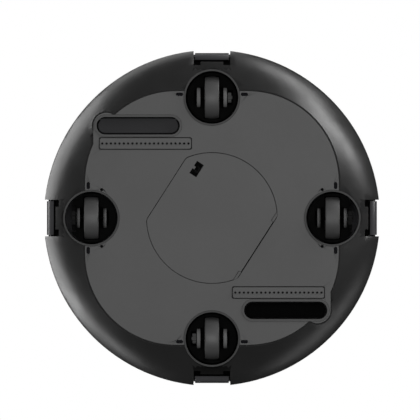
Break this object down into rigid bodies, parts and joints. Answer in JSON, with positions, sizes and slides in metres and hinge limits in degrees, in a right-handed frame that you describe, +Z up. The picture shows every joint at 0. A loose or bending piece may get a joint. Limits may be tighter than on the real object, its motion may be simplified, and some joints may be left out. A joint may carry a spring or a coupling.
{
  "type": "robot vacuum",
  "caption": "Low round floor-cleaning robot with sprung drive wheels, swivel casters, slot intakes, hinged battery cover, rim latches and a lift-out dust bin.",
  "frame": {"origin": "on the floor, under the centre of the round body", "axes": "+Z up; +Y towards the front caster; +X towards the right-hand drive wheel"},
  "size_m": [0.338, 0.338, 0.087],
  "materials": {
    "shell_plastic": "satin black",
    "base_plastic": "fine matte grey",
    "well_plastic": "matte black",
    "deck_plastic": "satin black",
    "bumper_rubber": "soft matte",
    "latch_plastic": "satin",
    "pin_steel": "drawn",
    "strip_plastic": "fine matte grey",
    "sensor_lens": "smoked",
    "screw_steel": "blackened",
    "cover_plastic": "fine matte grey",
    "black_plastic": "moulded black",
    "duct_plastic": "moulded",
    "flap_rubber": "smooth",
    "flap_black": "smooth black",
    "hub_plastic": "moulded",
    "tyre_rubber": "smooth grey",
    "motor_steel": "plated",
    "spring_steel": "oiled",
    "gear_plastic": "dark acetal",
    "train_plastic": "black acetal",
    "impeller_plastic": "acetal",
    "grille_plastic": "moulded black",
    "lid_plastic": "polished black",
    "battery_wrap": "shrink wrap",
    "board_green": "solder mask",
    "bin_plastic": "smoked",
    "filter_paper": "pleated",
    "button_plastic": "satin"
  },
  "bodies": {
    "root": {"lower_shell": "shell_plastic", "base_plate": "base_plastic", "well_cups": "well_plastic", "upper_housing": "deck_plastic", "latch_pins": "pin_steel", "brush_strips": "strip_plastic", "cliff_lenses": "sensor_lens", "base_screws": "screw_steel", "suction_duct_front": "duct_plastic", "suction_duct_rear": "duct_plastic", "drive_springs_left": "spring_steel", "drive_springs_right": "spring_steel", "battery_pack": "battery_wrap", "blower_housing": "duct_plastic", "blower_motor": "motor_steel", "main_board": "board_green", "exhaust_grille": "grille_plastic"},
    "bumper_front_right": {"bumper_front_right": "bumper_rubber"},
    "bumper_front_left": {"bumper_front_left": "bumper_rubber"},
    "bumper_rear_left": {"bumper_rear_left": "bumper_rubber"},
    "bumper_rear_right": {"bumper_rear_right": "bumper_rubber"},
    "latch_front": {"latch_front": "latch_plastic"},
    "latch_left": {"latch_left": "latch_plastic"},
    "latch_rear": {"latch_rear": "latch_plastic"},
    "latch_right": {"latch_right": "latch_plastic"},
    "service_cover": {"service_cover": "cover_plastic"},
    "cover_latch": {"cover_latch": "black_plastic"},
    "intake_flap_front": {"intake_flap_front": "flap_rubber"},
    "intake_flap_rear": {"intake_flap_rear": "flap_black"},
    "caster_swivel_front": {"caster_fork_front": "black_plastic"},
    "caster_wheel_front": {"caster_axle_front": "pin_steel", "caster_hub_front": "hub_plastic", "caster_tyre_front": "tyre_rubber"},
    "caster_swivel_rear": {"caster_fork_rear": "black_plastic"},
    "caster_wheel_rear": {"caster_axle_rear": "pin_steel", "caster_hub_rear": "hub_plastic", "caster_tyre_rear": "tyre_rubber"},
    "drive_left": {"drive_carriage_left": "black_plastic", "drive_motor_left": "motor_steel"},
    "drive_wheel_left": {"drive_axle_left": "pin_steel", "drive_hub_left": "hub_plastic", "drive_tyre_left": "tyre_rubber", "drive_gear_left": "gear_plastic"},
    "drive_idler_left": {"drive_idler_left": "train_plastic"},
    "drive_pinion_left": {"drive_pinion_left": "train_plastic"},
    "drive_right": {"drive_carriage_right": "black_plastic", "drive_motor_right": "motor_steel"},
    "drive_wheel_right": {"drive_axle_right": "pin_steel", "drive_hub_right": "hub_plastic", "drive_tyre_right": "tyre_rubber", "drive_gear_right": "gear_plastic"},
    "drive_idler_right": {"drive_idler_right": "train_plastic"},
    "drive_pinion_right": {"drive_pinion_right": "train_plastic"},
    "bin": {"dust_bin": "bin_plastic"},
    "lid": {"bin_lid": "lid_plastic", "filter_cartridge": "filter_paper"},
    "handle": {"lid_handle": "black_plastic"},
    "power_button": {"power_button": "button_plastic"},
    "home_button": {"home_button": "button_plastic"},
    "impeller": {"impeller": "impeller_plastic"}
  },
  "joints": [
    {"name": "bumper_front_right_push", "type": "slide", "parent": "root", "child": "bumper_front_right", "axis": [-0.7071, -0.7071, 0], "range_m": [0, 0.003], "stiffness_N_per_m": 300, "springref_m": -0.002},
    {"name": "bumper_front_left_push", "type": "slide", "parent": "root", "child": "bumper_front_left", "axis": [0.7071, -0.7071, 0], "range_m": [0, 0.003], "stiffness_N_per_m": 300, "springref_m": -0.002},
    {"name": "bumper_rear_left_push", "type": "slide", "parent": "root", "child": "bumper_rear_left", "axis": [0.7071, 0.7071, 0], "range_m": [0, 0.003], "stiffness_N_per_m": 300, "springref_m": -0.002},
    {"name": "bumper_rear_right_push", "type": "slide", "parent": "root", "child": "bumper_rear_right", "axis": [-0.7071, 0.7071, 0], "range_m": [0, 0.003], "stiffness_N_per_m": 300, "springref_m": -0.002},
    {"name": "latch_front_swing", "type": "hinge", "parent": "root", "child": "latch_front", "pos_m": [0, 0.1622, 0.033], "axis": [-1, 0, 0], "range_deg": [0, 95]},
    {"name": "latch_left_swing", "type": "hinge", "parent": "root", "child": "latch_left", "pos_m": [-0.1622, 0, 0.033], "axis": [0, -1, 0], "range_deg": [0, 95]},
    {"name": "latch_rear_swing", "type": "hinge", "parent": "root", "child": "latch_rear", "pos_m": [0, -0.1622, 0.033], "axis": [1, 0, 0], "range_deg": [0, 95]},
    {"name": "latch_right_swing", "type": "hinge", "parent": "root", "child": "latch_right", "pos_m": [0.1622, 0, 0.033], "axis": [0, 1, 0], "range_deg": [0, 95]},
    {"name": "service_cover_swing", "type": "hinge", "parent": "root", "child": "service_cover", "pos_m": [-0.04473, -0.02871, 0.01015], "axis": [-0.5402, 0.8415, 0], "range_deg": [0, 100]},
    {"name": "cover_latch_slide", "type": "slide", "parent": "service_cover", "child": "cover_latch", "axis": [0.8415, 0.5402, 0], "range_m": [0, 0.003]},
    {"name": "intake_flap_front_swing", "type": "hinge", "parent": "root", "child": "intake_flap_front", "pos_m": [0.0744, 0.0995, 0.0145], "axis": [-1, 0, 0], "range_deg": [0, 70]},
    {"name": "intake_flap_rear_swing", "type": "hinge", "parent": "root", "child": "intake_flap_rear", "pos_m": [-0.0744, -0.0995, 0.0345], "axis": [1, 0, 0], "range_deg": [0, 70]},
    {"name": "caster_front_swivel", "type": "hinge", "parent": "root", "child": "caster_swivel_front", "pos_m": [0, 0.1217, 0.05], "axis": [0, 0, 1], "continuous": true},
    {"name": "caster_front_roll", "type": "hinge", "parent": "caster_swivel_front", "child": "caster_wheel_front", "pos_m": [0, 0.1217, 0.0213], "axis": [1, 0, 0], "continuous": true},
    {"name": "caster_rear_swivel", "type": "hinge", "parent": "root", "child": "caster_swivel_rear", "pos_m": [0, -0.1217, 0.05], "axis": [0, 0, 1], "continuous": true},
    {"name": "caster_rear_roll", "type": "hinge", "parent": "caster_swivel_rear", "child": "caster_wheel_rear", "pos_m": [0, -0.1217, 0.0213], "axis": [1, 0, 0], "continuous": true},
    {"name": "drive_left_suspension", "type": "slide", "parent": "root", "child": "drive_left", "axis": [0, 0, 1], "range_m": [-0.006, 0.004], "stiffness_N_per_m": 2000, "springref_m": -0.0037, "deforming": ["drive_springs_left"]},
    {"name": "drive_left_roll", "type": "hinge", "parent": "drive_left", "child": "drive_wheel_left", "pos_m": [-0.1217, 0, 0.0213], "axis": [1, 0, 0], "continuous": true},
    {"name": "drive_left_idler_turn", "type": "hinge", "parent": "drive_left", "child": "drive_idler_left", "pos_m": [-0.1217, 0, 0.0393], "axis": [1, 0, 0], "continuous": true},
    {"name": "drive_left_pinion_turn", "type": "hinge", "parent": "drive_left", "child": "drive_pinion_left", "pos_m": [-0.1217, 0, 0.0563], "axis": [1, 0, 0], "continuous": true},
    {"name": "drive_right_suspension", "type": "slide", "parent": "root", "child": "drive_right", "axis": [0, 0, 1], "range_m": [-0.006, 0.004], "stiffness_N_per_m": 2000, "springref_m": -0.0037, "deforming": ["drive_springs_right"]},
    {"name": "drive_right_roll", "type": "hinge", "parent": "drive_right", "child": "drive_wheel_right", "pos_m": [0.1217, 0, 0.0213], "axis": [1, 0, 0], "continuous": true},
    {"name": "drive_right_idler_turn", "type": "hinge", "parent": "drive_right", "child": "drive_idler_right", "pos_m": [0.1217, 0, 0.0393], "axis": [1, 0, 0], "continuous": true},
    {"name": "drive_right_pinion_turn", "type": "hinge", "parent": "drive_right", "child": "drive_pinion_right", "pos_m": [0.1217, 0, 0.0563], "axis": [1, 0, 0], "continuous": true},
    {"name": "bin_lift", "type": "slide", "parent": "root", "child": "bin", "axis": [0, 0, 1], "range_m": [0, 0.06]},
    {"name": "lid_open", "type": "hinge", "parent": "bin", "child": "lid", "pos_m": [0, -0.05, 0.0836], "axis": [1, 0, 0], "range_deg": [0, 80]},
    {"name": "handle_fold", "type": "hinge", "parent": "lid", "child": "handle", "pos_m": [0, 0, 0.0848], "axis": [1, 0, 0], "range_deg": [0, 90]},
    {"name": "power_press", "type": "slide", "parent": "root", "child": "power_button", "axis": [0, 0, -1], "range_m": [0, 0.0015], "stiffness_N_per_m": 400, "springref_m": -0.001},
    {"name": "home_press", "type": "slide", "parent": "root", "child": "home_button", "axis": [0, 0, -1], "range_m": [0, 0.0015], "stiffness_N_per_m": 400, "springref_m": -0.001},
    {"name": "impeller_spin", "type": "hinge", "parent": "root", "child": "impeller", "pos_m": [-0.07778, 0.07778, 0.033], "axis": [0, 0, 1], "continuous": true}
  ],
  "couplings": [
    {"joint": "drive_left_idler_turn", "follows": "drive_left_roll", "ratio": -0.5},
    {"joint": "drive_left_pinion_turn", "follows": "drive_left_roll", "ratio": 1.2},
    {"joint": "drive_right_idler_turn", "follows": "drive_right_roll", "ratio": -0.5},
    {"joint": "drive_right_pinion_turn", "follows": "drive_right_roll", "ratio": 1.2}
  ]
}
